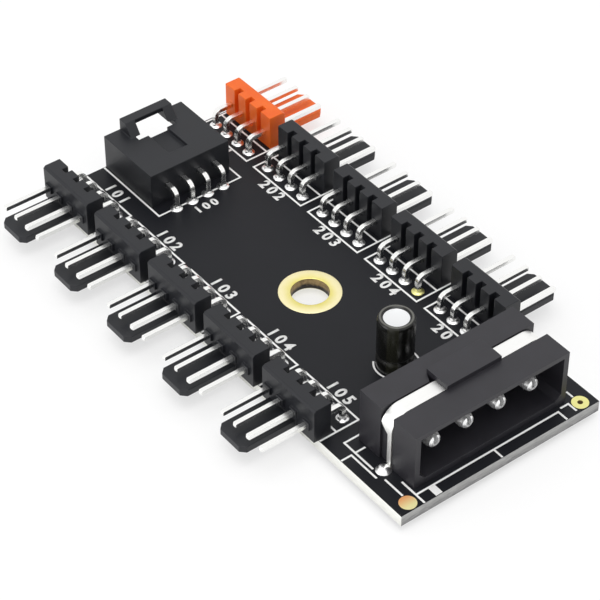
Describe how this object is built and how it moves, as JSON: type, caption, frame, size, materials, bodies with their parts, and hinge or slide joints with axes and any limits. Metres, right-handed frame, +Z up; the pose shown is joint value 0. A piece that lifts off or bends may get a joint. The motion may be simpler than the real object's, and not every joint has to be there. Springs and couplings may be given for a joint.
{
  "type": "fan controller hub",
  "caption": "Flat circuit board that shares fan power: fan headers along both sides, a keyed input socket, a power socket under a metal strap, and a capacitor.",
  "frame": {"origin": "on the axis of the mounting hole in the middle of the board, at the height of the board's top face", "axes": "+Z up off the board's top face, +Y along the board towards the input socket, +X towards the header row that has the orange header"},
  "size_m": [0.0482, 0.074, 0.0115],
  "materials": {
    "solder_mask": "satin black solder mask on glass fibre",
    "gold_plate": "pale gold plate",
    "black_nylon": "moulded black",
    "orange_nylon": "moulded orange",
    "tinned_brass": "bright tin plate on brass",
    "tin_strap": "bright tin plate",
    "solder": "bright solder",
    "can_aluminium": "drawn aluminium",
    "sleeve_film": "shrunk black film",
    "bung_rubber": "moulded rubber"
  },
  "bodies": {
    "root": {"circuit_board": "solder_mask", "mounting_hole_ring": "gold_plate", "left_corner_pad": "gold_plate", "right_corner_pad": "gold_plate", "left_header_1_housing": "black_nylon", "left_header_1_pins": "tinned_brass", "right_header_1_housing": "orange_nylon", "right_header_1_pins": "tinned_brass", "left_header_2_housing": "black_nylon", "left_header_2_pins": "tinned_brass", "right_header_2_housing": "black_nylon", "right_header_2_pins": "tinned_brass", "left_header_3_housing": "black_nylon", "left_header_3_pins": "tinned_brass", "right_header_3_housing": "black_nylon", "right_header_3_pins": "tinned_brass", "left_header_4_housing": "black_nylon", "left_header_4_pins": "tinned_brass", "right_header_4_housing": "black_nylon", "right_header_4_pins": "tinned_brass", "left_header_5_housing": "black_nylon", "left_header_5_pins": "tinned_brass", "right_header_5_housing": "black_nylon", "right_header_5_pins": "tinned_brass", "left_header_solder": "solder", "right_header_solder": "solder", "input_socket_housing": "black_nylon", "input_socket_pins": "tinned_brass", "input_solder": "solder", "power_socket_housing": "black_nylon", "power_socket_pins": "tinned_brass", "power_solder": "solder", "power_socket_strap": "tin_strap", "strap_solder": "solder", "capacitor_can": "can_aluminium", "capacitor_sleeve": "sleeve_film", "capacitor_bung": "bung_rubber", "capacitor_leads": "tinned_brass", "capacitor_solder": "solder"}
  },
  "joints": []
}
